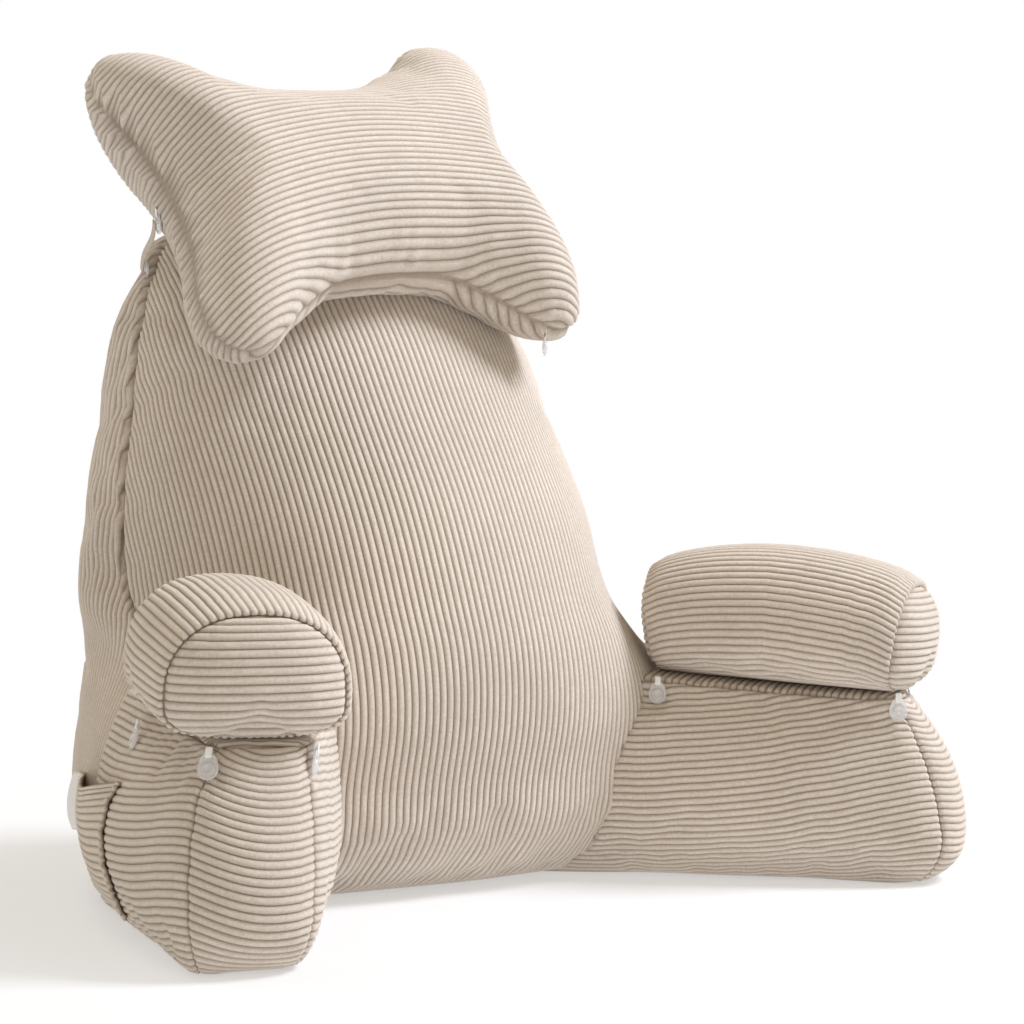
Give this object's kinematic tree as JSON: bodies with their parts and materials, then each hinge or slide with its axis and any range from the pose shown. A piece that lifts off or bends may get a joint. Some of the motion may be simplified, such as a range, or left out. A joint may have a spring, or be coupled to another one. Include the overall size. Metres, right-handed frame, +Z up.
{
  "type": "reading pillow with arms",
  "caption": "Wedge backrest cushion in wide-wale corduroy with two splayed arms, a removable bolster pad on each arm, a butterfly head pillow and a patch pocket.",
  "frame": {"origin": "on the floor, under the middle of the bounding box", "axes": "+Z up; -Y is the front, the side that a reader leans on; +X is to the right as seen from the front"},
  "size_m": [0.8138, 0.5751, 0.7737],
  "materials": {
    "corduroy": "wide-wale cream-beige corduroy, brushed and matte",
    "clear_plastic": "clear glossy moulded plastic",
    "label_tape": "smooth white woven tape, bare"
  },
  "bodies": {
    "root": {"back_body": "corduroy", "arm_left": "corduroy", "arm_right": "corduroy", "pad_left": "corduroy", "pad_right": "corduroy", "head_pillow": "corduroy", "arm_pocket": "corduroy", "care_label": "label_tape", "clip_left_front_inner": "clear_plastic", "clip_left_front_outer": "clear_plastic", "clip_left_rear_inner": "clear_plastic", "clip_left_rear_outer": "clear_plastic", "clip_right_front_inner": "clear_plastic", "clip_right_front_outer": "clear_plastic", "clip_right_rear_inner": "clear_plastic", "clip_right_rear_outer": "clear_plastic", "head_clip_left": "clear_plastic", "head_ring_left": "clear_plastic", "head_clip_right": "clear_plastic", "head_strap": "corduroy"}
  },
  "joints": []
}
